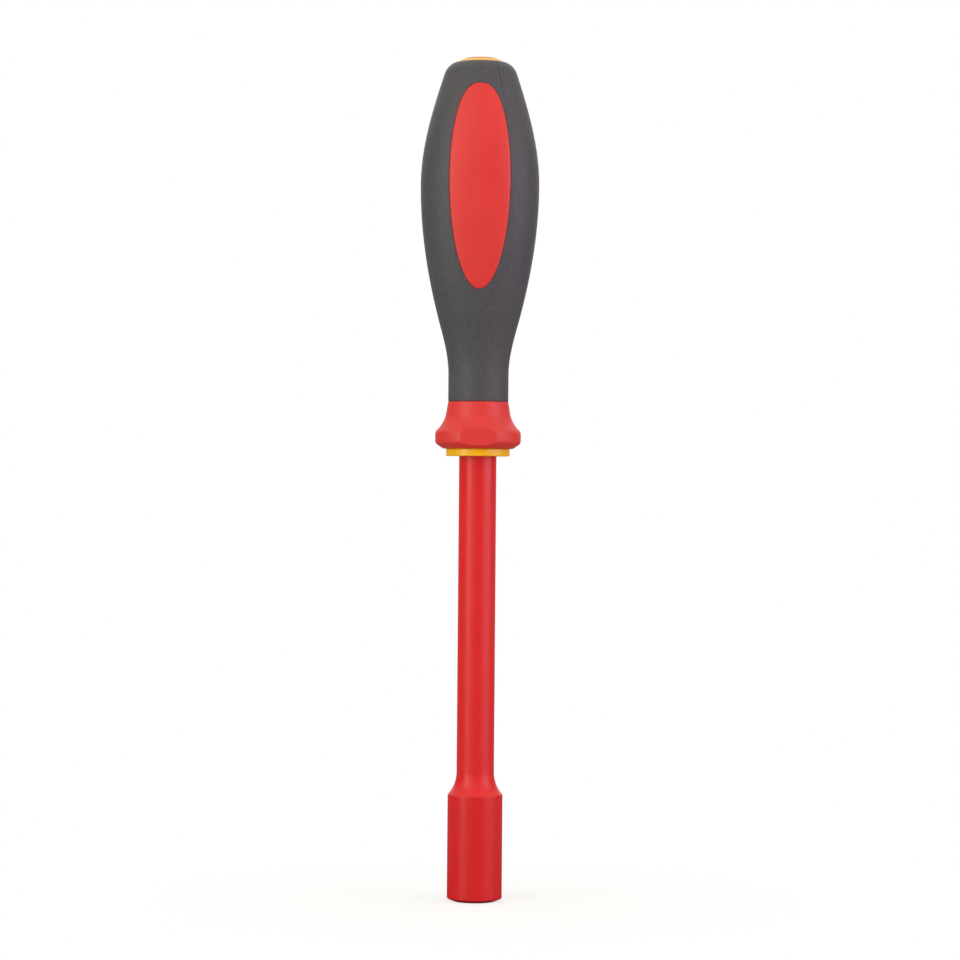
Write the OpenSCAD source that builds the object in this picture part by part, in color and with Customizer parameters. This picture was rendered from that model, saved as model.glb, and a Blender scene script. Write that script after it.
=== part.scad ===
// Insulated hex nut driver. A steel socket and its shank sit in one moulded sleeve, and the handle
// is three mouldings over the shank: a core, a hard shell with a guard and three oval pads, and a
// soft tri-lobed grip whose windows the pads fill. A cap with a colour disc closes the end.
// The origin is the centre of the socket's mouth. +Z runs up the tool, and one pad faces -Y.

/* [Socket] */
// Hex recess across its flats: an 8 mm nut with play
hex_flats = 8.1; // [6.1:0.1:9.1]
// Depth of the hex recess
hex_depth = 14; // [10:0.5:20]
// Extra width of the mouth's countersink over the hex corners
mouth_lead = 0.6; // [0.2:0.1:1]
// Diameter of the stud bore behind the hex
stud_d = 6.6; // [4.6:0.1:7]
// Length of the stud bore behind the hex
stud_len = 10; // [6:0.5:20]
// Steel left between the stud bore's drill point and the spigot
stud_web = 2.5; // [1.5:0.1:5]
// Steel outside the hex corners
socket_wall = 1.42; // [1:0.02:2]
// Length of the steel socket's tapered tail
tail_len = 6.5; // [4:0.5:9]
// Steel around the spigot at the end of the tail
tail_wall = 1.5; // [1:0.1:2]

/* [Shank] */
// Diameter of the steel shank
shank_d = 7; // [6:0.1:8]
// Diameter of the spigot that is pressed into the socket
spigot_d = 5; // [4:0.1:5.6]
// Length of the spigot
spigot_len = 5.5; // [4:0.5:8]
// Blade length, from the socket's mouth to the handle's front ring
blade_len = 125.1; // [75:0.1:200]
// Length of shank inside the handle
shank_tail = 78; // [60:1:90]
// Span of the wings pressed out of the shank, which stop it turning in the core
wing_span = 10.4; // [9:0.1:11]
// Thickness of a wing
wing_t = 1.8; // [1.2:0.1:2.4]
// Length of a wing
wing_len = 12; // [8:0.5:16]

/* [Sleeve] */
// Wall of the sleeve on the shank
sleeve_wall = 1.76; // [1.2:0.02:2.2]
// Wall of the sleeve on the socket
sleeve_socket_wall = 1.63; // [1.2:0.01:2.2]
// How far the sleeve's wide part runs on past the socket's full diameter
flare_lead = 2.27; // [1:0.01:3]
// Radius of the sweep from the shank up to the wide part
flare_r = 9.4; // [6:0.1:14]
// Rounding of the wide part's upper edge
flare_round = 0.5; // [0.2:0.1:1]
// Slope of the bevel at the mouth, in degrees from the end face
lip_angle = 22; // [15:1:30]
// How far the bevel at the mouth runs into the steel
lip_lead = 0.26; // [0.1:0.02:0.6]
// Rounding between the bevel at the mouth and the sleeve's side
lip_round = 0.4; // [0.2:0.1:0.8]
// Length of sleeve seated inside the handle
sleeve_seat = 8; // [5:0.5:11]

/* [Front ring and core] */
// Diameter of the core's front ring
ring_d = 17.9; // [16:0.1:19]
// Thickness of the front ring
ring_t = 2.1; // [1.5:0.05:3.5]
// Wall of the core's nose round the sleeve
nose_wall = 1.7; // [1.2:0.1:2]
// Length of the nose behind the front ring
nose_len = 8.5; // [7:0.1:10]

/* [Guard] */
// Diameter of the guard over its rounded corners
guard_d = 24.1; // [22.8:0.02:26]
// Guard across its six anti-roll flats
guard_flats = 22; // [21.4:0.02:23.6]
// Diameter of the guard's front face
guard_foot_d = 19.7; // [18.4:0.1:20.4]
// Slope of the guard's front bevel, in degrees from the front face
guard_bevel_angle = 34; // [25:1:45]
// Rounding between the bevel and the rim
guard_low_round = 1.3; // [0.6:0.1:1.6]
// Rounding between the rim and the sweep
guard_high_round = 0.8; // [0.4:0.1:1.2]
// Diameter of the collar where the guard meets the grip
guard_collar_d = 16.96; // [16.9:0.02:18]
// Slope of the collar's taper, in degrees from the axis
guard_taper_angle = 9; // [4:0.5:10]
// Length of the collar's taper
guard_taper_len = 3; // [2:0.1:3.8]
// Radius of the sweep from the rim to the collar
guard_sweep_r = 8.8; // [6:0.1:9.6]
// Length of the guard from the front ring to the grip
guard_len = 13.2; // [12.8:0.05:18]

/* [Grip] */
// Diameter of the grip's neck
neck_d = 16.94; // [16:0.02:18]
// Length of the straight neck
neck_len = 7.6; // [5:0.1:10]
// Distance from the front of the grip to the hip, the steepest place above the neck
hip_at = 20.6; // [16:0.1:25]
// Diameter at the hip
hip_d = 21.36; // [19:0.02:23]
// Slope of the grip's side at the hip, in degrees from the axis
hip_angle = 15.2; // [10:0.1:20]
// Distance from the front of the grip to its thickest place
barrel_at = 61.1; // [52:0.1:68]
// Mean diameter at the thickest place
barrel_d = 32.9; // [30:0.1:36]
// Distance from the front of the grip to the start of the crown's rounding
crown_at = 91.9; // [88:0.1:110]
// Diameter where the crown's rounding starts
crown_d = 20.6; // [18:0.1:22]
// Slope of the side where the crown's rounding starts, in degrees from the axis
crown_angle = 17.9; // [10:0.1:25]
// Rounding of the crown
crown_round = 5.5; // [3:0.1:6.4]
// How far the lobes stand out and the flats sink, as a share of the radius
lobe_share = 0.055; // [0:0.005:0.08]
// Wall of the soft grip on the flats
grip_wall = 1.75; // [1.4:0.05:2.2]
// Wall of the soft grip at the crown
crown_wall = 2.7; // [2.5:0.1:3.5]
// Wall of the hard shell
shell_wall = 1.7; // [1.2:0.1:2.2]

/* [Oval pads] */
// Width of a pad
pad_w = 17.1; // [12:0.1:20]
// Distance from the front of the grip to the widest line of a pad
pad_at = 62; // [58:0.1:64]
// Length of a pad above its widest line
pad_up = 26.55; // [20:0.05:28]
// Length of a pad below its widest line
pad_down = 30.9; // [24:0.1:34]
// How far a pad stands proud of the soft grip
pad_rise = 0.15; // [0:0.05:0.5]
// Gap between a pad and its window in the grip
pad_gap = 0.12; // [0.05:0.01:0.3]

/* [End cap] */
// Diameter of the cap
cap_d = 12.6; // [10:0.1:13]
// Rounding of the cap's edge
cap_round = 0.7; // [0.4:0.1:1]
// Height of the cap's dome above the end of the grip
cap_rise = 0.75; // [0.6:0.05:1.5]
// Radius of the cap's dome
cap_dome_r = 60; // [30:5:100]
// Gap between the cap and the grip
cap_gap = 0.1; // [0.05:0.01:0.3]
// Diameter of the cap's stem
stem_d = 6; // [4:0.1:8]
// Length of the cap's stem
stem_len = 9; // [6:0.5:14]
// Diameter of the colour disc
disc_d = 9; // [6:0.1:10]
// Depth of the colour disc in the cap
disc_t = 0.9; // [0.6:0.1:1.4]
// How far the colour disc stands proud of the cap
disc_rise = 0.24; // [0.1:0.02:0.4]

/* [Fits] */
// Bond line between mouldings and the pieces that they hold
bond_gap = 0.02; // [0.01:0.01:0.05]

/* [Hidden] */
$fn = 96;

// Counts and angles
hex_sides = 6;
lobes = 3;
lobe_face = 90;
drill_point_angle = 118;
pad_top_power = 2.45;
pad_bottom_power = 2;
arc_steps = 8;
side_steps = 9;
pad_steps = 12;
ring_segments = 48;

// Overrun of cuts, and the lead chamfers of the shank and the cap's stem
cut = 1;
shank_lead = 0.6;
stem_lead = 0.5;

// Socket, from its mouth up
hex_corners = hex_flats / cos(180 / hex_sides);
mouth_r = (hex_corners + mouth_lead) / 2;
mouth_depth = mouth_r - hex_flats / 2;
stud_end = hex_depth + stud_len;
drill_point = stud_d / 2 / tan(drill_point_angle / 2);
spigot_z = stud_end + drill_point + stud_web;
socket_end = spigot_z + spigot_len;
socket_shoulder = socket_end - tail_len;
socket_r = hex_corners / 2 + socket_wall;
tail_r = spigot_d / 2 + tail_wall;

// Sleeve
shank_r = shank_d / 2;
sleeve_r = shank_r + sleeve_wall;
wide_r = socket_r + sleeve_socket_wall;
wide_end = socket_shoulder + flare_lead;
flare_angle = sweep_angle(sleeve_r, wide_r, flare_r, flare_round);
flare_end = wide_end + (flare_r + flare_round) * sin(flare_angle);
face_r = socket_r - lip_lead;
lip_turn = 90 - lip_angle;
lip_c = [wide_r - lip_round,
         lip_z(wide_r - lip_round * (1 - cos(lip_turn))) + lip_round * sin(lip_turn)];

// Handle, from its front ring up
ring_back = blade_len + ring_t;
nose_r = sleeve_r + nose_wall;
nose_end = ring_back + nose_len;
grip_front = ring_back + guard_len;
guard_r = guard_d / 2;
neck_r = neck_d / 2;
taper_end = [guard_collar_d / 2 + guard_taper_len * tan(guard_taper_angle), grip_front - guard_taper_len];
sweep_c = taper_end + guard_sweep_r * [cos(guard_taper_angle), sin(guard_taper_angle)];
sweep_turn = acos((sweep_c[0] - guard_r + guard_high_round) / (guard_sweep_r + guard_high_round));
crown_z = grip_front + crown_at;
crown_c = [crown_d / 2 - crown_round * cos(crown_angle), crown_z - crown_round * sin(crown_angle)];
grip_end = crown_c[1] + crown_round;
end_seat = grip_end - crown_wall;
shank_end = blade_len + shank_tail;
wing_places = [shank_end - shank_tail / 2, shank_end - wing_len];

// Cap
cap_r = cap_d / 2;
disc_r = disc_d / 2;
dome_z = grip_end + cap_rise - cap_dome_r;
cap_side = cap_r - cap_round;
cap_turn = acos(cap_side / (cap_dome_r - cap_round));
cap_c = [cap_side, dome_z + (cap_dome_r - cap_round) * sin(cap_turn)];
disc_seat = dome_z + sqrt(cap_dome_r ^ 2 - disc_r ^ 2) - disc_t;

// Height, radius and slope of the grip's mean outline at the places that shape it
stations = [
    [grip_front, neck_r, 0],
    [grip_front + neck_len, neck_r, 0],
    [grip_front + hip_at, hip_d / 2, tan(hip_angle)],
    [grip_front + barrel_at, barrel_d / 2, 0],
    [crown_z, crown_d / 2, -tan(crown_angle)]
];
neck_end = stations[1][0];
side_heights = concat([grip_front], [for (i = [1 : len(stations) - 2], k = [0 : side_steps - 1])
    stations[i][0] + (stations[i + 1][0] - stations[i][0]) * k / side_steps]);

// Turn of a sweep that leaves one cylinder tangent and ends in the rounded edge of a wider one
function sweep_angle(small_r, big_r, sweep_r, round_r) =
    acos(1 - (big_r - small_r) / (sweep_r + round_r));

// Height of the bevel at the mouth, at radius r
function lip_z(r) = (r - face_r) * tan(lip_angle);

// Points of an arc about c, from one angle to another
function arc(c, r, from, to, steps = arc_steps) =
    [for (i = [0 : steps]) let (a = from + (to - from) * i / steps) c + r * [cos(a), sin(a)]];

// Cubic between two stations
function between(p, q, z) =
    let (h = q[0] - p[0], t = (z - p[0]) / h)
    p[1] * (1 + 2 * t) * (1 - t) ^ 2 + q[1] * t ^ 2 * (3 - 2 * t)
    + h * t * (1 - t) * (p[2] * (1 - t) - q[2] * t);

// Mean radius of the grip's side at height z
function side_r(z, i = 0) =
    i == len(stations) - 2 || z <= stations[i + 1][0]
    ? between(stations[i], stations[i + 1], z)
    : side_r(z, i + 1);

// Share by which the lobes leave the mean circle at height z: none at the neck and at the crown
function lobe_at(z) =
    lobe_share * sin(180 * max(0, min(1, (z - neck_end) / (grip_end - neck_end))));

// Radius and height of the grip's mean outline, from its front to the flat of its crown
function grip_outline() = concat(
    [for (z = side_heights) [side_r(z), z]],
    arc(crown_c, crown_round, crown_angle, 90));

// Radius of the hard shell under the grip, and of the core under the shell
function shell_r(z) = side_r(min(z, crown_z)) * (1 - lobe_at(z)) - grip_wall;
function core_r(z) = shell_r(z) - shell_wall;
function body_heights() = concat([for (z = side_heights) if (z < end_seat) z], [end_seat]);

// Outline of the core, which the shell's hollow shares with a bond line's width added
function core_outline(gap) = concat(
    [[0, blade_len], [ring_d / 2 + gap, blade_len], [ring_d / 2 + gap, ring_back],
     [nose_r + gap, ring_back], [nose_r + gap, nose_end]],
    [for (z = body_heights()) [core_r(z) + gap, z]],
    [[0, end_seat]]);

// Outline of the hard shell under the grip, closed on the axis
function shell_outline(gap) = concat(
    [[0, nose_end], [shell_r(grip_front) + gap, nose_end]],
    [for (z = body_heights()) [shell_r(z) + gap, z]],
    [[0, end_seat + gap]]);

// Outline of the guard: front face, bevel, rim, and the sweep up to the collar's taper
function guard_outline() =
    let (foot_r = guard_foot_d / 2,
         bevel_turn = 90 - guard_bevel_angle,
         bevel_r = guard_r - guard_low_round * (1 - cos(bevel_turn)),
         bevel_end = ring_back + (bevel_r - foot_r) * tan(guard_bevel_angle),
         rim_start = bevel_end + guard_low_round * sin(bevel_turn),
         rim_end = sweep_c[1] - (guard_sweep_r + guard_high_round) * sin(sweep_turn))
    concat(
        [[0, ring_back], [foot_r, ring_back]],
        arc([guard_r - guard_low_round, rim_start], guard_low_round, -bevel_turn, 0),
        arc([guard_r - guard_high_round, rim_end], guard_high_round, 0, sweep_turn),
        arc(sweep_c, guard_sweep_r, 180 + sweep_turn, 180 + guard_taper_angle),
        [[guard_collar_d / 2, grip_front], [0, grip_front]]);

// Outline of a pad, seen square on: an oval with a fuller upper half
function pad_outline(gap) = [for (i = [0 : 4 * pad_steps - 1])
    let (a = 90 * i / pad_steps,
         upper = sin(a) >= 0,
         power = 2 / (upper ? pad_top_power : pad_bottom_power),
         long = (upper ? pad_up : pad_down) + gap)
    [sign(cos(a)) * abs(cos(a)) ^ power * (pad_w / 2 + gap), sin(a) * long]];

// The tri-lobed grip as a closed skin, standing out by rise
module lobed_body(rise) {
    outline = grip_outline();
    rings = len(outline);
    points = [for (p = outline, j = [0 : ring_segments - 1])
        let (a = 360 * j / ring_segments,
             r = p[0] * (1 + lobe_at(p[1]) * cos(lobes * (a - lobe_face))) + rise)
        [r * cos(a), r * sin(a), p[1]]];
    sides = [for (i = [0 : rings - 2], j = [0 : ring_segments - 1])
        let (k = (j + 1) % ring_segments, low = i * ring_segments, high = low + ring_segments)
        each [[low + j, high + j, low + k], [low + k, high + j, high + k]]];
    front = [for (j = [0 : ring_segments - 1]) j];
    crown = [for (j = [ring_segments - 1 : -1 : 0]) (rings - 1) * ring_segments + j];
    polyhedron(points, concat([front, crown], sides));
}

// Three oval prisms, from inside the shell out past the flats
module pad_prisms(gap) {
    root = shell_r(grip_front);
    for (i = [0 : lobes - 1])
        rotate(i * 360 / lobes)
            translate([0, -root, grip_front + pad_at])
                rotate([90, 0, 0])
                    linear_extrude(barrel_d / 2 + cut - root)
                        polygon(pad_outline(gap));
}

// One pair of wings across the shank, with sloping ends
module wings(gap) {
    half = wing_span / 2;
    slope = half - shank_r;
    rotate([90, 0, 0])
        translate([0, 0, -wing_t / 2 - gap])
            linear_extrude(wing_t + 2 * gap)
                polygon([[-half - gap, slope - gap], [0, -2 * gap], [half + gap, slope - gap],
                         [half + gap, wing_len - slope + gap], [0, wing_len + 2 * gap],
                         [-half - gap, wing_len - slope + gap]]);
}

// The shank inside the handle, as the core is moulded round it
module shank_body(from, gap) {
    translate([0, 0, from])
        cylinder(h = shank_end - shank_lead - from + gap, r = shank_r + gap);
    translate([0, 0, shank_end - shank_lead + gap])
        cylinder(h = shank_lead, r1 = shank_r + gap, r2 = shank_r - shank_lead + gap);
    for (i = [0 : len(wing_places) - 1])
        translate([0, 0, wing_places[i]])
            rotate(90 * i)
                wings(gap);
}

module socket_head() {
    color("silver")
        difference() {
            rotate_extrude()
                polygon([[0, 0], [face_r, 0], [socket_r, lip_z(socket_r)],
                         [socket_r, socket_shoulder], [tail_r, socket_end], [0, socket_end]]);
            translate([0, 0, -cut])
                cylinder(h = hex_depth + cut, d = hex_corners, $fn = hex_sides);
            translate([0, 0, -cut])
                cylinder(h = mouth_depth + cut, r1 = mouth_r + cut, r2 = mouth_r - mouth_depth);
            translate([0, 0, hex_depth - cut])
                cylinder(h = stud_len + cut, d = stud_d);
            translate([0, 0, stud_end])
                cylinder(h = drill_point, d1 = stud_d, d2 = 0);
            translate([0, 0, spigot_z])
                cylinder(h = spigot_len + cut, d = spigot_d + 2 * bond_gap);
        }
}

module shank() {
    color("gainsboro") {
        translate([0, 0, spigot_z])
            cylinder(h = spigot_len + cut, d = spigot_d);
        shank_body(socket_end, 0);
    }
}

module blade_sleeve() {
    color([0.82, 0.16, 0.16])
        rotate_extrude()
            polygon(concat(
                arc(lip_c, lip_round, -lip_turn, 0),
                arc([wide_r - flare_round, wide_end], flare_round, 0, flare_angle),
                arc([sleeve_r + flare_r, flare_end], flare_r, 180 + flare_angle, 180),
                [[sleeve_r, blade_len + sleeve_seat],
                 [shank_r + bond_gap, blade_len + sleeve_seat],
                 [shank_r + bond_gap, socket_end + bond_gap],
                 [tail_r + bond_gap, socket_end + bond_gap],
                 [socket_r + bond_gap, socket_shoulder],
                 [socket_r + bond_gap, lip_z(socket_r + bond_gap)]]));
}

module handle_core() {
    color([0.92, 0.67, 0.06])
        difference() {
            rotate_extrude()
                polygon(core_outline(0));
            translate([0, 0, blade_len - cut])
                cylinder(h = sleeve_seat + cut + bond_gap, r = sleeve_r + bond_gap);
            shank_body(blade_len, bond_gap);
            translate([0, 0, end_seat - stem_len - bond_gap])
                cylinder(h = stem_len + bond_gap + cut, d = stem_d + 2 * bond_gap);
        }
}

module handle_shell() {
    color([0.87, 0.24, 0.22])
        difference() {
            union() {
                intersection() {
                    rotate_extrude()
                        polygon(guard_outline());
                    translate([0, 0, ring_back - cut])
                        cylinder(h = guard_len + 2 * cut, d = guard_flats / cos(180 / hex_sides),
                                 $fn = hex_sides);
                }
                rotate_extrude()
                    polygon(shell_outline(0));
                intersection() {
                    lobed_body(pad_rise);
                    pad_prisms(0);
                }
            }
            rotate_extrude()
                polygon(core_outline(bond_gap));
        }
}

module soft_grip() {
    color([0.33, 0.32, 0.34])
        difference() {
            lobed_body(0);
            rotate_extrude()
                polygon(shell_outline(bond_gap));
            pad_prisms(pad_gap);
            translate([0, 0, end_seat])
                cylinder(h = crown_wall + cut, r = cap_r + cap_gap);
        }
}

module end_cap() {
    color([0.92, 0.67, 0.06])
        rotate_extrude()
            polygon(concat(
                [[0, end_seat - stem_len], [stem_d / 2 - stem_lead, end_seat - stem_len],
                 [stem_d / 2, end_seat - stem_len + stem_lead], [stem_d / 2, end_seat],
                 [cap_r, end_seat]],
                arc(cap_c, cap_round, 0, cap_turn),
                arc([0, dome_z], cap_dome_r, cap_turn,
                    acos((disc_r + bond_gap) / cap_dome_r)),
                [[disc_r + bond_gap, disc_seat], [0, disc_seat]]));
}

module cap_disc() {
    color([0.82, 0.16, 0.16])
        rotate_extrude()
            polygon(concat(
                [[0, disc_seat], [disc_r, disc_seat]],
                arc([0, dome_z + disc_rise], cap_dome_r, acos(disc_r / cap_dome_r), 90)));
}

socket_head();
shank();
blade_sleeve();
handle_core();
handle_shell();
soft_grip();
end_cap();
cap_disc();
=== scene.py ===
import math

import bmesh
import bpy
from mathutils import Matrix, Vector


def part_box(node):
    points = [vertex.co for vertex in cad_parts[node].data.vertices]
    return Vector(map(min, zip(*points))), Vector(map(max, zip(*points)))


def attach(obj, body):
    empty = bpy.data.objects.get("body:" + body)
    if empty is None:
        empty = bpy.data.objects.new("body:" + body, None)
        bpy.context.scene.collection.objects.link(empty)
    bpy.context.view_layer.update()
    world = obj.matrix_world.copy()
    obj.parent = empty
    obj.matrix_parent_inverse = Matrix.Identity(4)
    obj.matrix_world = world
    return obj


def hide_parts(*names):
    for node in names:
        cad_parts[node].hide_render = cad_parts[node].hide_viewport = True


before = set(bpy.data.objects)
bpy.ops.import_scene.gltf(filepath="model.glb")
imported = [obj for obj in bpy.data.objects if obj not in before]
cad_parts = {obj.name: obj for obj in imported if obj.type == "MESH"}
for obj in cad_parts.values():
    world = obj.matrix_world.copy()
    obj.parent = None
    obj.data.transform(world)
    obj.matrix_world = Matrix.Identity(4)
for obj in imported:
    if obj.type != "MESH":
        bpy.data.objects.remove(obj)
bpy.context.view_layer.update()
mm = 0.001  # pieces are set in millimetres and degrees, the scene, its lights and its room in metres
weldDistance = 1e-7
white = (1, 1, 1, 1)
print("frame loaded:", sorted(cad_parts))


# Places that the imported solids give

def lowOf(node):
    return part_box(node)[0] / mm


def highOf(node):
    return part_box(node)[1] / mm


ringFace = lowOf("handle_core").z
ringBack = lowOf("handle_shell").z
gripFront = lowOf("soft_grip").z
endSeat = highOf("handle_core").z
sleeveEnd = highOf("blade_sleeve").z
sleeveWide = highOf("blade_sleeve").x
socketEnd = highOf("socket_head").z
socketRadius = highOf("socket_head").x
shankEnd = highOf("shank").z
stemEnd = lowOf("end_cap").z
capRadius = highOf("end_cap").x
discRadius = highOf("cap_disc").x
discSeat = lowOf("cap_disc").z


# Small geometry helpers

def spread(low, high, steps):  # even steps, both ends kept
    return [low + (high - low) * i / steps for i in range(steps + 1)]


def arc(centre, radius, start, end, steps):  # points of an arc in the outline's plane
    turn = [math.radians(a) for a in spread(start, end, steps)]
    return [(centre[0] + radius * math.cos(a), centre[1] + radius * math.sin(a)) for a in turn]


def between(a, b, share):  # the point at a share of the way from a to b
    return (a[0] + (b[0] - a[0]) * share, a[1] + (b[1] - a[1]) * share)


def supported(outline, near):  # holds the shading of long straight runs with a point near each end
    points = [outline[0]]
    for a, b in zip(outline, outline[1:]):
        run = math.dist(a, b)
        if run > 4 * near:
            points += [between(a, b, near / run), between(a, b, 1 - near / run)]
        points.append(b)
    return points


def sweepTurn(small, big, sweep, edge):  # turn of a sweep that ends in the rounded edge of a wider cylinder
    return math.degrees(math.acos(1 - (big - small) / (sweep + edge)))


def addGrid(mesh, rows, closed):
    made = [[mesh.verts.new(Vector(p) * mm) for p in row] for row in rows]
    for low, high in zip(made, made[1:]):
        count = len(low)
        for j in range(count if closed else count - 1):
            k = (j + 1) % count
            mesh.faces.new((low[j], low[k], high[k], high[j]))
    return made


def joinRings(mesh, fine, coarse):  # several points of the fine ring for each one of the coarse ring
    step = len(fine) // len(coarse)
    for j in range(len(coarse)):
        k = (j + 1) % len(coarse)
        run = [fine[(j * step + i) % len(fine)] for i in range(step + 1)]
        mesh.faces.new(run + [coarse[k], coarse[j]])


def turned(rows, angle):
    spin = Matrix.Rotation(math.radians(angle), 3, "Z")
    return [[spin @ Vector(p) for p in row] for row in rows]


def latheRows(outline, columns, radiusAt=None):  # one ring of points for each outline point
    rows = []
    for r, z in outline:
        ring = []
        for j in range(columns):
            a = 2 * math.pi * j / columns
            radius = radiusAt(a, r, z) if radiusAt else r
            ring.append((radius * math.cos(a), radius * math.sin(a), z))
        rows.append(ring)
    return rows


def makePiece(name, mesh, node, material, sharpAngle):
    bmesh.ops.remove_doubles(mesh, verts=mesh.verts, dist=weldDistance)
    loose = [v for v in mesh.verts if not v.link_faces]
    bmesh.ops.delete(mesh, geom=loose, context="VERTS")
    bmesh.ops.recalc_face_normals(mesh, faces=mesh.faces)
    data = bpy.data.meshes.new(name)
    mesh.to_mesh(data)
    mesh.free()
    data.shade_smooth()
    data.set_sharp_from_angle(angle=math.radians(sharpAngle))
    data.materials.append(material)
    piece = bpy.data.objects.new(name, data)
    bpy.context.scene.collection.objects.link(piece)
    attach(piece, "root")
    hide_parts(node)
    print("made", name, len(data.vertices), "points")


# Shader helpers

def newGroup(name, inputs, outputs):  # a socket called Color is a colour, any other is a number
    group = bpy.data.node_groups.new(name, "ShaderNodeTree")

    def addSocket(label, way):
        kind = "NodeSocketColor" if label == "Color" else "NodeSocketFloat"
        return group.interface.new_socket(label, in_out=way, socket_type=kind)

    for label, value in inputs.items():
        addSocket(label, "INPUT").default_value = value
    for label in outputs:
        addSocket(label, "OUTPUT")
    given = group.nodes.new("NodeGroupInput").outputs
    result = group.nodes.new("NodeGroupOutput").inputs
    return group, given, result


def placeGroup(tree, group, values):
    node = tree.nodes.new("ShaderNodeGroup")
    node.node_tree = group
    for label, value in values.items():
        node.inputs[label].default_value = value
    return node


def addNode(tree, kind, **values):
    node = tree.nodes.new(kind)
    for key, value in values.items():
        if key in node.inputs:
            node.inputs[key].default_value = value
        else:
            setattr(node, key, value)
    return node


def feed(tree, socket, value):  # a link where the value is a socket, and a constant elsewhere
    if isinstance(value, bpy.types.NodeSocket):
        tree.links.new(value, socket)
    else:
        socket.default_value = value


def addMath(tree, operation, a, b=0.0):
    node = addNode(tree, "ShaderNodeMath", operation=operation)
    feed(tree, node.inputs[0], a)
    feed(tree, node.inputs[1], b)
    return node.outputs[0]


def addRange(tree, value, low, high, toLow, toHigh):
    spans = {"From Min": low, "From Max": high, "To Min": toLow, "To Max": toHigh}
    node = addNode(tree, "ShaderNodeMapRange", **spans)
    tree.links.new(value, node.inputs["Value"])
    return node.outputs[0]


def addMix(tree, factor, a, b, blend="MIX"):
    node = addNode(tree, "ShaderNodeMix", data_type="RGBA", blend_type=blend)
    for socket, value in ((node.inputs[0], factor), (node.inputs[6], a), (node.inputs[7], b)):
        feed(tree, socket, value)
    return node.outputs[2]


def addGrey(tree, level):
    node = addNode(tree, "ShaderNodeCombineColor")
    for socket in node.inputs[:3]:
        tree.links.new(level, socket)
    return node.outputs[0]


def mixShaders(tree, factor, a, b):
    node = tree.nodes.new("ShaderNodeMixShader")
    for socket, value in zip(node.inputs, (factor, a, b)):
        tree.links.new(value, socket)
    return node.outputs[0]


# Shader groups

skinPattern = {
    "grainDetail": 3.0,
    "grainRoughness": 0.6,
    "grainHeight": 0.7,
    "pitSmoothness": 0.6,
    "driftPerMetre": 55.0,
    "driftDetail": 4.0,
    "driftRoughness": 0.55,
    "noiseSpan": (0.3, 0.7),
}
partingPattern = {
    "fade": 4.0,
    # colour of the painted shade along the parting line's groove
    "color": (0.01, 0.01, 0.01, 1),
}
scuffAndShadePattern = {
    "scuffsPerMetre": (900, 900, 120),
    "scuffTurn": (0.5, 0.3, 0.7),
    "scuffDetail": 2.0,
    "scuffSpan": (0.62, 0.72),
    "scuffColor": (0.8, 0.78, 0.76, 1),
    "scuffRoughness": 0.3,
    "patchesPerMetre": 70.0,
    "patchDetail": 3.0,
    "patchRoughness": 0.6,
    "patchSpan": (0.5, 0.68),
    "hollowSpan": (0.4, 0.47),
    # painted shade: the colour that darkens seams and hollows
    "hollowShadeColor": (0.02, 0.018, 0.017, 1),
}


def buildMouldSkin():  # the fine spark texture of a mould and slow drifts of its colour
    s = skinPattern
    inputs = {
        "Color": white,
        "Drift": 0.05,
        "Speckle": 0.05,
        "Grain Per Metre": 4000.0,
        "Roughness": 0.5,
        "Roughness Drift": 0.1,
    }
    group, given, result = newGroup("mouldSkin", inputs, ["Color", "Roughness", "Height"])
    place = group.nodes.new("ShaderNodeTexCoord").outputs["Object"]
    grain = addNode(group, "ShaderNodeTexNoise", Detail=s["grainDetail"], Roughness=s["grainRoughness"])
    pits = addNode(group, "ShaderNodeTexVoronoi", feature="SMOOTH_F1", Smoothness=s["pitSmoothness"])
    drift = addNode(group, "ShaderNodeTexNoise", Scale=s["driftPerMetre"], Detail=s["driftDetail"],
                    Roughness=s["driftRoughness"])
    for node in (grain, pits, drift):
        group.links.new(place, node.inputs["Vector"])
    for node in (grain, pits):
        group.links.new(given["Grain Per Metre"], node.inputs["Scale"])
    swing = addRange(group, drift.outputs[0], *s["noiseSpan"], -1.0, 1.0)
    fine = addRange(group, grain.outputs[0], *s["noiseSpan"], -0.5, 0.5)
    slow = addMath(group, "MULTIPLY", swing, given["Drift"])
    quick = addMath(group, "MULTIPLY", fine, given["Speckle"])
    gain = addMath(group, "ADD", addMath(group, "ADD", slow, quick), 1.0)
    color = addMix(group, 1.0, given["Color"], addGrey(group, gain), "MULTIPLY")
    rough = addMath(group, "MULTIPLY", swing, given["Roughness Drift"])
    raised = addMath(group, "MULTIPLY", fine, s["grainHeight"])
    height = addMath(group, "ADD", raised, pits.outputs["Distance"])
    group.links.new(color, result["Color"])
    group.links.new(addMath(group, "ADD", rough, given["Roughness"]), result["Roughness"])
    group.links.new(height, result["Height"])
    return group


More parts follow.
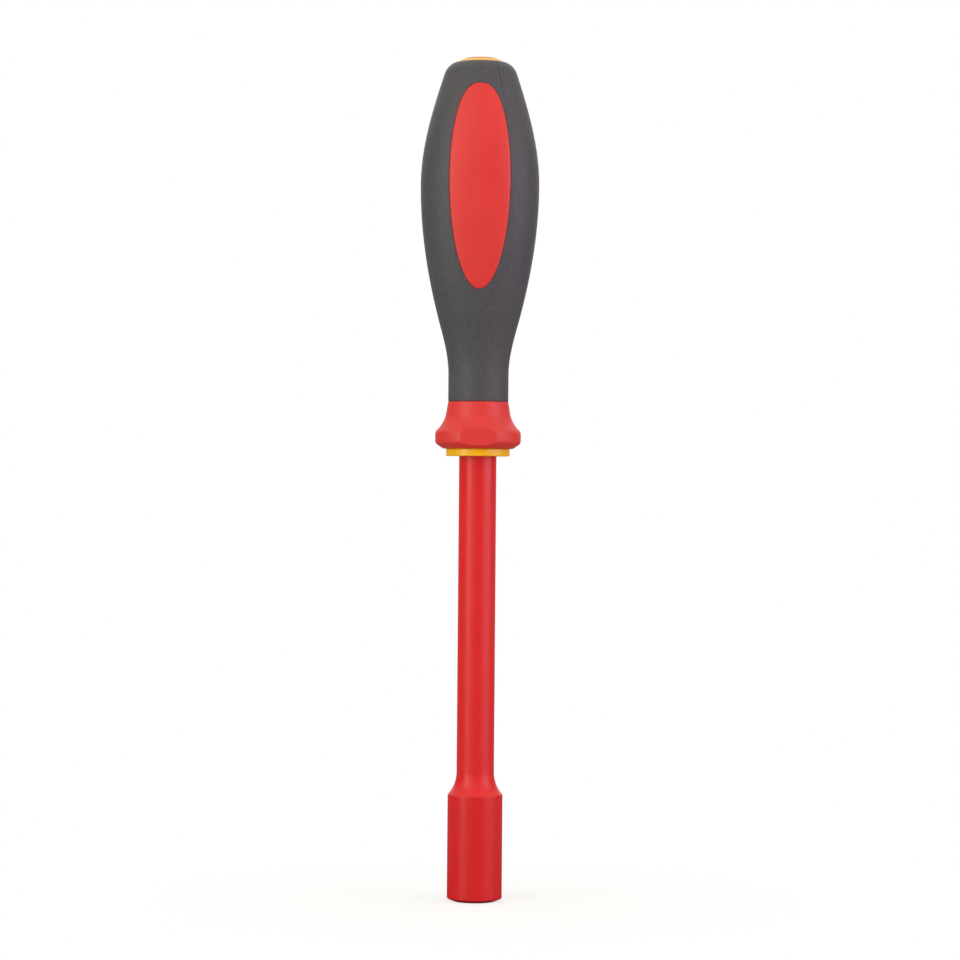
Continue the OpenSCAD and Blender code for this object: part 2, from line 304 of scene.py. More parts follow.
def buildPartingLine():  # the fine line that two mould halves leave, in a leaning plane across the piece: a real groove, darkened with painted shade
    inputs = {
        "Color": white,
        "Height": 0.0,
        "Aside": 0.005,
        "Lean": 0.2,
        "Middle": 0.23,
        "Low": 0.22,
        "Width": 0.0002,
        "Groove Shade": 0.25,
    }
    group, given, result = newGroup("partingLine", inputs, ["Color", "Height"])
    axes = group.nodes.new("ShaderNodeSeparateXYZ")
    group.links.new(group.nodes.new("ShaderNodeTexCoord").outputs["Object"], axes.inputs[0])
    up = addMath(group, "SUBTRACT", axes.outputs["Z"], given["Middle"])
    line = addMath(group, "SUBTRACT", given["Aside"], addMath(group, "MULTIPLY", up, given["Lean"]))
    beside = addMath(group, "ABSOLUTE", addMath(group, "SUBTRACT", axes.outputs["X"], line))
    near = addRange(group, addMath(group, "DIVIDE", beside, given["Width"]), 0.0, 1.0, 1.0, 0.0)
    above = addMath(group, "SUBTRACT", axes.outputs["Z"], given["Low"])
    fade = addRange(group, above, 0.0, partingPattern["fade"] * mm, 0.0, 1.0)
    mask = addMath(group, "MULTIPLY", near, fade)
    # painted shade darkens the line as if light did not reach into its groove
    grooveShade = addMath(group, "MULTIPLY", mask, given["Groove Shade"])
    group.links.new(addMix(group, grooveShade, given["Color"], partingPattern["color"]), result["Color"])
    group.links.new(addMath(group, "SUBTRACT", given["Height"], mask), result["Height"])
    return group


def buildScuffsAndHollowShade():  # faint scuffs, and painted shade that darkens seams and corners
    m = scuffAndShadePattern
    inputs = {"Color": white, "Roughness": 0.5, "Scuff": 0.1, "Painted Hollow Shade": 0.3}
    group, given, result = newGroup("scuffsAndHollowShade", inputs, ["Color", "Roughness"])
    place = group.nodes.new("ShaderNodeTexCoord").outputs["Object"]
    stretch = addNode(group, "ShaderNodeMapping", Rotation=m["scuffTurn"], Scale=m["scuffsPerMetre"])
    group.links.new(place, stretch.inputs["Vector"])
    lines = addNode(group, "ShaderNodeTexNoise", Scale=1.0, Detail=m["scuffDetail"], Roughness=0.5)
    group.links.new(stretch.outputs[0], lines.inputs["Vector"])
    patches = addNode(group, "ShaderNodeTexNoise", Scale=m["patchesPerMetre"], Detail=m["patchDetail"],
                      Roughness=m["patchRoughness"])
    group.links.new(place, patches.inputs["Vector"])
    thin = addRange(group, lines.outputs[0], *m["scuffSpan"], 0.0, 1.0)
    some = addRange(group, patches.outputs[0], *m["patchSpan"], 0.0, 1.0)
    mask = addMath(group, "MULTIPLY", addMath(group, "MULTIPLY", thin, some), given["Scuff"])
    pale = addMix(group, mask, given["Color"], m["scuffColor"])
    worn = addMath(group, "MULTIPLY", mask, m["scuffRoughness"])
    # painted shade, darker where the surface is hollow, as in seams and corners
    hollow = group.nodes.new("ShaderNodeNewGeometry").outputs["Pointiness"]
    corner = addRange(group, hollow, *m["hollowSpan"], 1.0, 0.0)
    hollowShadeMix = addMath(group, "MULTIPLY", corner, given["Painted Hollow Shade"])
    group.links.new(addMix(group, hollowShadeMix, pale, m["hollowShadeColor"]), result["Color"])
    group.links.new(addMath(group, "ADD", given["Roughness"], worn), result["Roughness"])
    return group


mouldSkin = buildMouldSkin()
partingLine = buildPartingLine()
scuffsAndHollowShade = buildScuffsAndHollowShade()
print("shader groups made")


def makeMaterial(name, look):
    material = bpy.data.materials.new(name)
    material.use_nodes = True
    tree = material.node_tree
    shader = tree.nodes["Principled BSDF"]
    shader.inputs["Metallic"].default_value = look.get("metallic", 0.0)
    shader.inputs["Specular IOR Level"].default_value = look["specular"]
    skin = placeGroup(tree, mouldSkin, {
        "Color": (*look["color"], 1),
        "Drift": look["drift"],
        "Speckle": look["speckle"],
        "Grain Per Metre": look["grainPerMetre"],
        "Roughness": look["roughness"],
        "Roughness Drift": look["roughnessDrift"],
    })
    # scuffs, and painted shade in seams and corners
    scuffsAndShade = placeGroup(tree, scuffsAndHollowShade, {"Scuff": look["scuff"], "Painted Hollow Shade": look["paintedHollowShade"]})
    bump = addNode(tree, "ShaderNodeBump", Strength=look["grainStrength"], Distance=look["grainDepth"] * mm)
    relief = skin
    if "parting" in look:
        relief = placeGroup(tree, partingLine, look["parting"])
        tree.links.new(skin.outputs["Color"], relief.inputs["Color"])
        tree.links.new(skin.outputs["Height"], relief.inputs["Height"])
    tree.links.new(relief.outputs["Color"], scuffsAndShade.inputs["Color"])
    tree.links.new(skin.outputs["Roughness"], scuffsAndShade.inputs["Roughness"])
    tree.links.new(relief.outputs["Height"], bump.inputs["Height"])
    tree.links.new(scuffsAndShade.outputs["Color"], shader.inputs["Base Color"])
    tree.links.new(scuffsAndShade.outputs["Roughness"], shader.inputs["Roughness"])
    tree.links.new(bump.outputs["Normal"], shader.inputs["Normal"])
    return material


# Grip surface, shared by the soft grip and the pads in its windows

lobeCount = 3
halfSector = 180 / lobeCount
gripShape = {
    "neckRadius": 8.47,
    "neckLength": 7.6,
    "hipAt": 20.6,
    "hipRadius": 10.68,
    "hipAngle": 15.2,
    "barrelAt": 61.1,
    "barrelRadius": 16.45,
    "crownAt": 92.2,
    "crownRadius": 10.2,
    "crownAngle": 17.9,
    "crownRound": 5.1,
    "lobe": 0.055,
    "wall": 1.75,
    "shellWall": 1.7,
}
padShape = {
    "width": 17.1,
    "at": 62.0,
    "up": 26.55,
    "down": 30.9,
    "upPower": 2.45,
    "downPower": 2.0,
    "rise": 0.15,
    "edgeRound": 0.9,
    "edgeDepth": 0.28,
    "gap": 0.05,
    "rootDepth": 0.2,
    "columns": 240,
    "rings": 22,
    "edgeRings": 9,
}


def gripStations():  # height, radius and slope at the places that shape the grip
    g = gripShape
    return [
        (gripFront, g["neckRadius"], 0.0),
        (gripFront + g["neckLength"], g["neckRadius"], 0.0),
        (gripFront + g["hipAt"], g["hipRadius"], math.tan(math.radians(g["hipAngle"]))),
        (gripFront + g["barrelAt"], g["barrelRadius"], 0.0),
        (gripFront + g["crownAt"], g["crownRadius"], -math.tan(math.radians(g["crownAngle"]))),
    ]


stations = gripStations()
neckEnd = stations[1][0]
crownStart = stations[-1][0]
crownTilt = math.radians(gripShape["crownAngle"])
crownCentre = (gripShape["crownRadius"] - gripShape["crownRound"] * math.cos(crownTilt),
               crownStart - gripShape["crownRound"] * math.sin(crownTilt))
crownTop = crownCentre[1] + gripShape["crownRound"]
padMiddle = gripFront + padShape["at"]


def sideRadius(z):  # mean radius of the grip, on cubics between the stations
    for a, b in zip(stations, stations[1:]):
        if z <= b[0] or b is stations[-1]:
            h = b[0] - a[0]
            t = (z - a[0]) / h
            return (a[1] * (1 + 2 * t) * (1 - t) ** 2 + b[1] * t ** 2 * (3 - 2 * t)
                    + h * t * (1 - t) * (a[2] * (1 - t) - b[2] * t))


def lobeAt(z):  # the lobes fade out at the neck and at the crown
    share = max(0.0, min(1.0, (z - neckEnd) / (crownTop - neckEnd)))
    return gripShape["lobe"] * math.sin(math.pi * share)


def shellRadius(z):
    return sideRadius(min(z, crownStart)) * (1 - lobeAt(z)) - gripShape["wall"]


def roundPoint(turn, z, radius):  # turn runs from the pad's middle, towards +X
    a = math.radians(turn)
    return (radius * math.sin(a), -radius * math.cos(a), z)


def skinPoint(turn, z, lift=0.0, radius=None):  # on the lobed skin, or lifted off it
    mean = sideRadius(z) if radius is None else radius
    r = mean * (1 - lobeAt(z) * math.cos(lobeCount * math.radians(turn))) + lift
    return roundPoint(turn, z, r)


def turnAt(x, z):  # the turn at which the grip's surface lies x beside the pad's middle
    turn = 0.0
    for _ in range(12):
        r = sideRadius(z) * (1 - lobeAt(z) * math.cos(lobeCount * turn))
        turn = math.asin(max(-1.0, min(1.0, x / r)))
    return math.degrees(turn)


def ovalPoint(t, out):  # the pad's outline seen square on, moved out by a distance
    c = math.cos(math.radians(t))
    s = math.sin(math.radians(t))
    half = padShape["width"] / 2
    long = padShape["up"] if s >= 0 else padShape["down"]
    power = padShape["upPower"] if s >= 0 else padShape["downPower"]
    x = math.copysign(abs(c) ** (2 / power) * half, c)
    z = s * long
    nx = math.copysign(power * abs(x / half) ** (power - 1) / half, x)
    nz = 2 * z / long ** 2
    size = math.hypot(nx, nz)
    return x + out * nx / size, padMiddle + z + out * nz / size


def roundedDrop(distance, width, depth):  # how far a rounded edge has dropped, this near to its wall
    inside = max(0.0, 1 - distance / width)
    return depth * (1 - math.sqrt(max(0.0, 1 - inside ** 2)))


# Soft grip

gripLook = {
    "color": (0.071, 0.067, 0.0785),
    "drift": 0.05,
    "speckle": 0.55,
    "grainPerMetre": 2600.0,
    "grainStrength": 0.7,
    "grainDepth": 0.06,
    "roughness": 0.48,
    "roughnessDrift": 0.07,
    "specular": 0.29,
    "scuff": 0.0,
    # painted shade in seams and corners
    "paintedHollowShade": 0.15,
    "parting": {
        "Aside": 5.2 * mm,
        "Lean": 0.2,
        "Middle": 231.5 * mm,
        "Low": 225.5 * mm,
        "Width": 0.22 * mm,
        # painted shade along the parting line
        "Groove Shade": 0.65,
    },
}
gripMesh = {
    "sideSteps": 84,
    "endSteps": 36,
    "cornerTurn": 62.0,
    "fieldLow": 165.0,
    "fieldHigh": 231.6,
    "layers": 16,
    "layerPower": 1.35,
    "edgeRound": 0.12,
    "frontRound": 0.2,
    "holeRound": 1.1,
    "holeGap": 0.1,
    "bond": 0.02,
    "sharpAngle": 50,
}


def fieldRim():  # angles round the window, each with its place on the sector's border
    corner = gripMesh["cornerTurn"]
    low, high = gripMesh["fieldLow"], gripMesh["fieldHigh"]
    reach = math.sin(math.radians(corner))
    across = math.cos(math.radians(corner))

    def sideHeight(t):
        s = math.sin(math.radians(t)) / reach
        return padMiddle + s * ((high - padMiddle) if s > 0 else (padMiddle - low))

    def sideRun(start, turn):
        return [(t, turn, sideHeight(t)) for t in spread(start, start + 2 * corner, gripMesh["sideSteps"])]

    def endRun(start, z):
        angles = spread(start, start + 180 - 2 * corner, gripMesh["endSteps"])
        return [(t, halfSector * math.cos(math.radians(t)) / across, z) for t in angles]

    top = endRun(corner, high)
    bottom = endRun(180 + corner, low)
    rim = sideRun(-corner, halfSector)[:-1] + top[:-1]
    rim += sideRun(180 - corner, -halfSector)[:-1] + bottom[:-1]
    return rim, [turn for _, turn, _ in top], [turn for _, turn, _ in bottom]


def makeSoftGrip():
    m = gripMesh
    rim, topTurns, bottomTurns = fieldRim()
    loop = rim + rim[:1]
    gap, edge, bond = padShape["gap"], m["edgeRound"], m["bond"]

    def innerAt(turn, z):
        return roundPoint(turn, z, shellRadius(z) + bond)

    windowRows = []
    for a in spread(90, 0, 6):  # from the field in to the window's wall
        out = edge * (1 - math.cos(math.radians(a)))
        row = []
        for t, _, _ in loop:
            x, z = ovalPoint(t, gap + out)
            row.append(skinPoint(turnAt(x, z), z, -roundedDrop(out, edge, edge)))
        windowRows.append(row)
    wall = [ovalPoint(t, gap) for t, _, _ in loop]
    innerWindow = [innerAt(turnAt(x, z), z) for x, z in wall]

    fieldStart = []
    for t, _, _ in loop:
        x, z = ovalPoint(t, gap + edge)
        fieldStart.append((turnAt(x, z), z))
    fieldRows = []
    for k in range(m["layers"] + 1):
        share = (k / m["layers"]) ** m["layerPower"]
        fieldRows.append([between(a, b[1:], share) for a, b in zip(fieldStart, loop)])
    innerRows = [[innerAt(t, z) for t, z in row] for row in fieldRows]

    front, frontRadius = m["frontRound"], gripShape["neckRadius"] - m["frontRound"]
    frontRows = arc((frontRadius, gripFront + front), front, -90, 0, 5)
    neckRows = [[roundPoint(t, z, r) for t in bottomTurns] for r, z in frontRows]
    neckHeights = spread(gripFront + front, m["fieldLow"], 26)[1:]
    neckRows += [[skinPoint(t, z) for t in bottomTurns] for z in neckHeights]
    neckInner = [[innerAt(t, z) for t in bottomTurns] for z in spread(gripFront, m["fieldLow"], 8)]
    frontRadii = (shellRadius(gripFront) + bond, frontRadius)
    frontFace = [[roundPoint(t, gripFront, r) for t in bottomTurns] for r in frontRadii]

    hole, lip = capRadius + m["holeGap"], m["holeRound"]
    lastTurn = math.degrees(math.acos((hole + lip - crownCentre[0]) / gripShape["crownRound"]))
    crown = [(None, z) for z in spread(m["fieldHigh"], crownStart, 3)]
    crown += arc(crownCentre, gripShape["crownRound"], gripShape["crownAngle"], lastTurn, 20)[1:]
    crownRows = [[skinPoint(t, z, 0, r) for t in topTurns] for r, z in crown]
    lipTop = crown[-1][1]
    mouth = arc((hole + lip, lipTop - lip), lip, 90, 180, 5)
    mouth += [(hole, endSeat), (shellRadius(endSeat) + bond, endSeat + bond)]
    mouthRows = crownRows[-1:] + [[roundPoint(t, z, r) for t in topTurns] for r, z in mouth]
    mouthRows += [[innerAt(t, m["fieldHigh"]) for t in topTurns]]

    grids = [
        [[skinPoint(t, z) for t, z in row] for row in fieldRows],
        innerRows,
        windowRows + [innerWindow, innerRows[0]],
        neckRows,
        neckInner,
        frontFace,
        crownRows,
        mouthRows,
    ]
    mesh = bmesh.new()
    for sector in range(lobeCount):
        for rows in grids:
            addGrid(mesh, turned(rows, 2 * halfSector * sector), False)
    material = makeMaterial("gripGrey", gripLook)
    makePiece("soft_grip_skin", mesh, "soft_grip", material, m["sharpAngle"])


# Hard shell: guard, neck and the three pads

shellLook = {
    "color": (0.67, 0.027, 0.0245),
    "drift": 0.03,
    "speckle": 0.05,
    "grainPerMetre": 5200.0,
    "grainStrength": 0.18,
    "grainDepth": 0.03,
    "roughness": 0.5,
    "roughnessDrift": 0.05,
    "specular": 0.43,
    "scuff": 0.02,
    # painted shade in seams and corners
    "paintedHollowShade": 0.1,
}
guardShape = {
    "radius": 12.05,
    "flats": 3,
    "flatDistance": 11.0,
    "flatSoftness": 0.08,
    "flatsOutside": 8.85,
    "footRadius": 9.85,
    "footLead": 0.3,
    "bevelAngle": 34.0,
    "lowRound": 1.3,
    "highRound": 1.7,
    "sweepRadius": 8.8,
    "taperAngle": 9.0,
    "taperLength": 3.0,
    "collarRadius": 8.48,
    "collarRound": 0.4,
    "noseRadius": 6.98,
    "noseLength": 8.5,
    "columns": 432,
    "sharpAngle": 50,
}


def guardOutline():
    g = guardShape
    taper = math.radians(g["taperAngle"])
    taperEnd = (g["collarRadius"] + g["taperLength"] * math.tan(taper), gripFront - g["taperLength"])
    sweepCentre = (taperEnd[0] + g["sweepRadius"] * math.cos(taper),
                   taperEnd[1] + g["sweepRadius"] * math.sin(taper))
    reach = g["sweepRadius"] + g["highRound"]
    highTurn = math.acos((sweepCentre[0] - g["radius"] + g["highRound"]) / reach)
    bevelTurn = 90 - g["bevelAngle"]
    bevelRadius = g["radius"] - g["lowRound"] * (1 - math.cos(math.radians(bevelTurn)))
    bevelEnd = ringBack + (bevelRadius - g["footRadius"]) * math.tan(math.radians(g["bevelAngle"]))
    rimStart = bevelEnd + g["lowRound"] * math.sin(math.radians(bevelTurn))
    rimEnd = sweepCentre[1] - reach * math.sin(highTurn)
    highTurn = math.degrees(highTurn)
    foot = (g["footRadius"], ringBack)
    bevel = [between(foot, (bevelRadius, bevelEnd), s) for s in spread(0, 1, 16)[:-1]]
    low = arc((g["radius"] - g["lowRound"], rimStart), g["lowRound"], -bevelTurn, 0, 14)
    rim = [(g["radius"], z) for z in spread(rimStart, rimEnd, 20)[1:-1]]
    high = arc((g["radius"] - g["highRound"], rimEnd), g["highRound"], 0, highTurn, 12)
    sweep = arc(sweepCentre, g["sweepRadius"], 180 + highTurn, 180 + g["taperAngle"], 44)
    e = g["collarRound"]
    collarCentre = (g["collarRadius"] - e * (1 - math.sin(taper)) / math.cos(taper), gripFront - e)
    collar = arc(collarCentre, e, g["taperAngle"], 90, 8)
    cone = [between(taperEnd, collar[0], s) for s in spread(0, 1, 8)[1:-1]]
    return bevel + low + rim + high[:-1] + sweep + cone + collar


def guardRadius(a, r, z):  # the flats, with a soft edge where they cut the turned form
    g = guardShape
    if r <= g["flatsOutside"]:
        return r
    sector = 2 * math.pi / g["flats"]
    aside = (a + math.pi / 2 + sector / 2) % sector - sector / 2  # zero in the middle of a flat
    flat = g["flatDistance"] / math.cos(aside)
    return (r + flat - math.hypot(r - flat, g["flatSoftness"])) / 2


def padRow(out, share, pointAt):  # a ring out from the pad's outline, drawn in to a share of it
    row = []
    for t in spread(0, 360, padShape["columns"]):
        x, z = ovalPoint(t, out)
        z = padMiddle + (z - padMiddle) * share
        row.append(pointAt(turnAt(x * share, z), z))
    return row


def padRows():
    p = padShape

    def faceAt(turn, z):
        return skinPoint(turn, z, p["rise"])

    def rootAt(turn, z):
        return roundPoint(turn, z, shellRadius(z) - p["rootDepth"])

    rows = [padRow(-p["edgeRound"], share, faceAt) for share in spread(0, 1, p["rings"])]
    for a in spread(0, 90, p["edgeRings"])[1:]:
        out = -p["edgeRound"] * (1 - math.sin(math.radians(a)))
        lift = p["rise"] - roundedDrop(-out, p["edgeRound"], p["edgeDepth"])
        rows.append(padRow(out, 1.0, lambda turn, z: skinPoint(turn, z, lift)))
    rows += [padRow(0.0, share, rootAt) for share in (1.0, 0.6, 0.0)]
    return rows


def makeHandleShell():
    g = guardShape
    bond = gripMesh["bond"]
    nose = g["noseRadius"] + bond
    mesh = bmesh.new()
    foot = [(nose, ringBack), (g["footRadius"] - g["footLead"], ringBack)]
    guard = addGrid(mesh, latheRows(foot + guardOutline(), g["columns"], guardRadius), True)
    under = spread(gripFront, endSeat, 40)
    hidden = [(shellRadius(z) - bond, z) for z in under]
    hidden += [(shellRadius(z) - gripShape["shellWall"] + bond, z) for z in reversed(under)]
    hidden += [(nose, ringBack + g["noseLength"])]
    body = addGrid(mesh, latheRows(hidden, g["columns"] // 6), True)
    joinRings(mesh, guard[-1], body[0])
    joinRings(mesh, guard[0], body[-1])
    pad = padRows()
    for sector in range(lobeCount):
        addGrid(mesh, turned(pad, 2 * halfSector * sector), False)
    material = makeMaterial("shellRed", shellLook)
    makePiece("handle_shell_skin", mesh, "handle_shell", material, g["sharpAngle"])


# Core with its front ring

coreLook = {
    "color": (0.855, 0.45, 0.0),
    "drift": 0.03,
    "speckle": 0.04,
    "grainPerMetre": 5200.0,
    "grainStrength": 0.1,
    "grainDepth": 0.02,
    "roughness": 0.32,
    "roughnessDrift": 0.04,
    "specular": 0.42,
    "scuff": 0.01,
    # painted shade in seams and corners
    "paintedHollowShade": 0.15,
}
coreShape = {
    "ringRadius": 8.95,
    "ringRound": 0.2,
    "noseRadius": 6.96,
    "noseLength": 8.5,
    "sleeveSeatRadius": 5.28,
    "shankRadius": 3.52,
    "stemRadius": 3.02,
    "support": 0.2,
    "columns": 144,
    "sharpAngle": 38,
}


def makeHandleCore():
    c = coreShape
    e = c["ringRound"]
    under = spread(gripFront, endSeat, 30)
    outline = [(0, stemEnd), (c["stemRadius"], stemEnd), (c["stemRadius"], endSeat)]
    outline += [(shellRadius(z) - gripShape["shellWall"], z) for z in reversed(under)]
    outline += [(c["noseRadius"], ringBack + c["noseLength"]), (c["noseRadius"], ringBack)]
    outline += [(c["ringRadius"] - 2 * e, ringBack)]
    outline += arc((c["ringRadius"] - e, ringBack - e), e, 90, 0, 5)
    outline += arc((c["ringRadius"] - e, ringFace + e), e, 0, -90, 5)
    outline += [(c["sleeveSeatRadius"], ringFace), (c["sleeveSeatRadius"], sleeveEnd)]
    outline += [(c["shankRadius"], sleeveEnd), (c["shankRadius"], shankEnd), (0, shankEnd)]
    mesh = bmesh.new()
    addGrid(mesh, latheRows(supported(outline, c["support"]), c["columns"]), True)
    material = makeMaterial("coreYellow", coreLook)
    makePiece("handle_core_ring", mesh, "handle_core", material, c["sharpAngle"])


# Blade sleeve

sleeveLook = {
    "color": (0.665, 0.011, 0.013),
    "drift": 0.03,
    "speckle": 0.12,
    "grainPerMetre": 4200.0,
    "grainStrength": 0.16,
    "grainDepth": 0.03,
    "roughness": 0.37,
    "roughnessDrift": 0.06,
    "specular": 0.37,
    "scuff": 0.02,
    # painted shade in seams and corners
    "paintedHollowShade": 0.2,
}
sleeveShape = {
    "radius": 5.26,
    "wideEnd": 29.75,
    "flareRadius": 9.4,
    "flareRound": 0.5,
    "lipAngle": 22.0,
    "lipLead": 0.26,
    "lipRound": 0.4,
    "bond": 0.02,
    "shankRadius": 3.5,
    "support": 0.3,
    "columns": 160,
    "sharpAngle": 38,
}
faceRadius = socketRadius - sleeveShape["lipLead"]


def lipHeight(r):  # the bevel at the mouth runs over the steel and its sleeve
    return (r - faceRadius) * math.tan(math.radians(sleeveShape["lipAngle"]))


def makeBladeSleeve():
    s = sleeveShape
    turn = sweepTurn(s["radius"], sleeveWide, s["flareRadius"], s["flareRound"])
    flareEnd = s["wideEnd"] + (s["flareRadius"] + s["flareRound"]) * math.sin(math.radians(turn))
    lipTurn = 90 - s["lipAngle"]
    lipEnd = lipHeight(sleeveWide - s["lipRound"] * (1 - math.cos(math.radians(lipTurn))))
    lipCentre = (sleeveWide - s["lipRound"], lipEnd + s["lipRound"] * math.sin(math.radians(lipTurn)))
    bore = socketRadius + s["bond"]
    shankBore = s["shankRadius"] + s["bond"]
    tailBore = socketShape["tailRadius"] + s["bond"]
    outline = [(bore, lipHeight(bore))]
    outline += arc(lipCentre, s["lipRound"], -lipTurn, 0, 10)
    outline += arc((sleeveWide - s["flareRound"], s["wideEnd"]), s["flareRound"], 0, turn, 8)
    outline += arc((s["radius"] + s["flareRadius"], flareEnd), s["flareRadius"], 180 + turn, 180, 28)[1:]
    outline += [(s["radius"], sleeveEnd), (shankBore, sleeveEnd)]
    outline += [(shankBore, socketEnd + s["bond"]), (tailBore, socketEnd + s["bond"])]
    outline += [(bore, socketShape["shoulder"])]
    outline += outline[:1]
    mesh = bmesh.new()
    addGrid(mesh, latheRows(supported(outline, s["support"]), s["columns"]), True)
    material = makeMaterial("sleeveRed", sleeveLook)
    makePiece("blade_sleeve_skin", mesh, "blade_sleeve", material, s["sharpAngle"])


# Steel socket and shank

steelLook = {
    "color": (0.56, 0.56, 0.57),
    "drift": 0.04,
    "speckle": 0.06,
    "grainPerMetre": 6000.0,
    "grainStrength": 0.12,
    "grainDepth": 0.02,
    "roughness": 0.3,
    "roughnessDrift": 0.08,
    "specular": 0.5,
    "metallic": 1.0,
    "scuff": 0.15,
    # painted shade in seams and corners
    "paintedHollowShade": 0.4,
}
socketShape = {
    "acrossFlats": 8.1,
    "hexDepth": 14.0,
    "mouthRadius": 4.98,
    "studRadius": 3.3,
    "studEnd": 24.0,
    "studLead": 0.2,
    "drillPoint": 1.98,
    "shoulder": 27.48,
    "tailRadius": 4.0,
    "spigotRadius": 2.52,
    "spigotStart": 28.48,
    "support": 0.3,
    "mouthSupport": 0.4,
    "columnsPerSide": 24,
    "sharpAngle": 25,
}


def makeSocketHead():
    s = socketShape
    half = s["acrossFlats"] / 2
    mouthDepth = s["mouthRadius"] - half

    def hexRadius(a):
        return half / math.cos((a % (math.pi / 3)) - math.pi / 6)

    def radiusAt(a, r, z):
        if r < 0:  # a negative radius marks the hex wall, opened by the mouth's countersink
            return max(hexRadius(a), s["mouthRadius"] - z)
        return r

    hexWall = [s["hexDepth"], s["hexDepth"] - s["support"], mouthDepth + s["mouthSupport"]]
    hexWall += spread(mouthDepth, 0, 16)
    outline = [(0, s["studEnd"] + s["drillPoint"]), (s["studRadius"], s["studEnd"])]
    outline += [(s["studRadius"], s["studEnd"] - s["support"])]
    outline += [(s["studRadius"], s["hexDepth"] + s["studLead"])]
    outline += [(s["studRadius"] + s["studLead"], s["hexDepth"])]
    outline += [(-1, z) for z in hexWall]
    outline += [(faceRadius, 0), (socketRadius, lipHeight(socketRadius))]
    outline += [(socketRadius, s["shoulder"]), (s["tailRadius"], socketEnd), (s["spigotRadius"], socketEnd)]
    outline += [(s["spigotRadius"], s["spigotStart"]), (0, s["spigotStart"])]
    mesh = bmesh.new()
    addGrid(mesh, latheRows(outline, 6 * s["columnsPerSide"], radiusAt), True)
    material = makeMaterial("socketSteel", steelLook)
    makePiece("socket_head_steel", mesh, "socket_head", material, s["sharpAngle"])


def dressShank():  # the hidden shank keeps its solid
    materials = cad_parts["shank"].data.materials
    materials.clear()
    materials.append(makeMaterial("shankSteel", steelLook))


# End cap and its disc

# a paler copy of the core's yellow: painted highlight for the light on the cap's front wall
capLook = dict(coreLook, color=(0.87, 0.52, 0.13))
capShape = {
    "edgeRound": 1.3,
    "rise": 0.75,
    "domeRadius": 60.0,
    "stemRadius": 3.0,
    "stemLead": 0.5,
    "discGap": 0.04,
    "discRound": 0.12,
    "discRise": 0.24,
    "discEdgeTurn": 80,
    "support": 0.15,
    "discSupport": 0.1,
    "columns": 120,
    "sharpAngle": 38,
}


def domeHeight(r):
    c = capShape
    return crownTop + c["rise"] - c["domeRadius"] + math.sqrt(c["domeRadius"] ** 2 - r ** 2)


def makeEndCap():
    c = capShape
    hole = discRadius + c["discGap"]
    side = capRadius - c["edgeRound"]
    reach = c["domeRadius"] - c["edgeRound"]
    turn = math.degrees(math.acos(side / reach))
    edgeCentre = (side, domeHeight(0) - c["domeRadius"] + reach * math.sin(math.radians(turn)))
    outline = [(0, stemEnd), (c["stemRadius"] - c["stemLead"], stemEnd)]
    outline += [(c["stemRadius"], stemEnd + c["stemLead"]), (c["stemRadius"], endSeat), (capRadius, endSeat)]
    outline += arc(edgeCentre, c["edgeRound"], 0, turn, 12)
    outline += [(r, domeHeight(r)) for r in spread(side, hole + c["discRound"], 4)[1:]]
    outline += [(hole, domeHeight(hole) - c["discRound"]), (hole, discSeat), (0, discSeat)]
    mesh = bmesh.new()
    addGrid(mesh, latheRows(supported(outline, c["support"]), c["columns"]), True)
    material = makeMaterial("capYellow", capLook)
    makePiece("end_cap_dome", mesh, "end_cap", material, c["sharpAngle"])


def makeCapDisc():
    c = capShape
    e = c["discRound"]

    def topAt(r):
        return domeHeight(r) + c["discRise"]

    outline = [(0, discSeat), (discRadius, discSeat)]
    outline += arc((discRadius - e, topAt(discRadius) - e), e, 0, c["discEdgeTurn"], 5)
    outline += [(r, topAt(r)) for r in spread(discRadius - 1.5 * e, 0, 14)]
    mesh = bmesh.new()
    addGrid(mesh, latheRows(supported(outline, c["discSupport"]), c["columns"]), True)
    material = makeMaterial("discRed", shellLook)
    makePiece("cap_disc_inlay", mesh, "cap_disc", material, c["sharpAngle"])


makeSoftGrip()
makeHandleShell()
makeHandleCore()
makeBladeSleeve()
makeSocketHead()
makeEndCap()
makeCapDisc()
dressShank()
print("pieces made")


# Camera: level with the middle of the tool, as far off as the photo's perspective says

cameraView = {
    "distance": 900.0,
    "height": 118.4,
    "aside": 0.67,
    "frameWidth": 270.2,
    "roll": 0.47,
}


def makeCamera():
    c = cameraView
    data = bpy.data.cameras.new("camera")
    data.sensor_fit = "HORIZONTAL"
    data.angle = 2 * math.atan(c["frameWidth"] / 2 / c["distance"])
    camera = bpy.data.objects.new("camera", data)
    bpy.context.scene.collection.objects.link(camera)
    place = Vector((c["aside"], -c["distance"], c["height"])) * mm
    camera.matrix_world = (Matrix.Translation(place) @ Matrix.Rotation(math.radians(90), 4, "X")
                           @ Matrix.Rotation(math.radians(c["roll"]), 4, "Z"))
    bpy.context.scene.camera = camera


# Studio: tall soft boxes on both sides, a white room with a bright ceiling, and a pale floor

